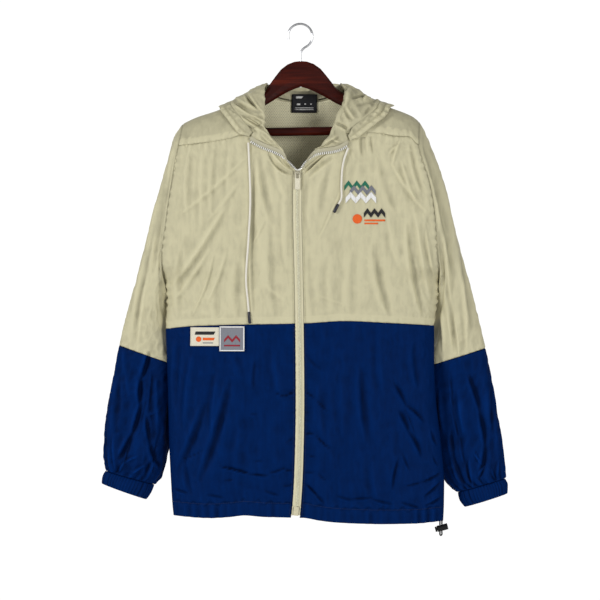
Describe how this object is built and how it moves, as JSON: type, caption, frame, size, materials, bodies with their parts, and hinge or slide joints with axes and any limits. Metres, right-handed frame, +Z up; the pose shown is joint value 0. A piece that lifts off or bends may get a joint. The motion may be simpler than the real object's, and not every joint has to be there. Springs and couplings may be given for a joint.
{
  "type": "windbreaker jacket on hanger",
  "caption": "Hooded full-zip nylon windbreaker in two colour blocks with gathered cuffs, drawcords and a cord lock, hung on a shaped wooden hanger.",
  "frame": {"origin": "inside top of the hanger's hook, where a rail holds it", "axes": "+X to the wearer's left, -Y to the front, +Z up"},
  "size_m": [0.6916, 0.1647, 0.875],
  "materials": {
    "khaki_nylon": "satin",
    "navy_nylon": "satin",
    "mesh_lining": "matte",
    "zip_tape": "matte",
    "zip_resin": "satin",
    "zip_metal": "satin",
    "woven_label_cream": "matte",
    "woven_label_grey": "matte",
    "woven_label_black": "matte",
    "white_cord": "matte",
    "navy_tip": "satin",
    "black_cord": "matte",
    "black_plastic": "satin",
    "dark_wood": "gloss",
    "hook_steel": "polished"
  },
  "bodies": {
    "jacket": {"front_upper_right": "khaki_nylon", "front_upper_left": "khaki_nylon", "back_upper": "khaki_nylon", "sleeve_upper_right": "khaki_nylon", "sleeve_upper_left": "khaki_nylon", "hood_side_right": "khaki_nylon", "hood_centre": "khaki_nylon", "hood_side_left": "khaki_nylon", "hood_rim": "khaki_nylon", "front_lower_right": "navy_nylon", "front_lower_left": "navy_nylon", "back_lower": "navy_nylon", "sleeve_lower_right": "navy_nylon", "sleeve_lower_left": "navy_nylon", "cuff_right": "navy_nylon", "cuff_left": "navy_nylon", "back_lining": "mesh_lining", "zip_tape_right": "zip_tape", "zip_tape_left": "zip_tape", "zip_box": "zip_resin", "zip_slider": "zip_metal", "label_cream": "woven_label_cream", "label_grey": "woven_label_grey", "neck_label": "woven_label_black", "drawcord_right": "white_cord", "drawcord_left": "white_cord", "cord_tip_right": "navy_tip", "cord_tip_left": "navy_tip", "hem_cord": "black_cord", "cord_lock": "black_plastic", "cord_plunger": "black_plastic", "hanger_arms": "dark_wood", "hanger_bar": "dark_wood", "hanger_hook": "hook_steel"},
    "pull_tab": {"zip_pull": "zip_metal"}
  },
  "joints": [
    {"name": "pull_tab_hinge", "type": "hinge", "parent": "jacket", "child": "pull_tab", "pos_m": [-0.00427, -0.05127, -0.254], "axis": [-1, 0, 0], "range_deg": [0, 150]}
  ]
}
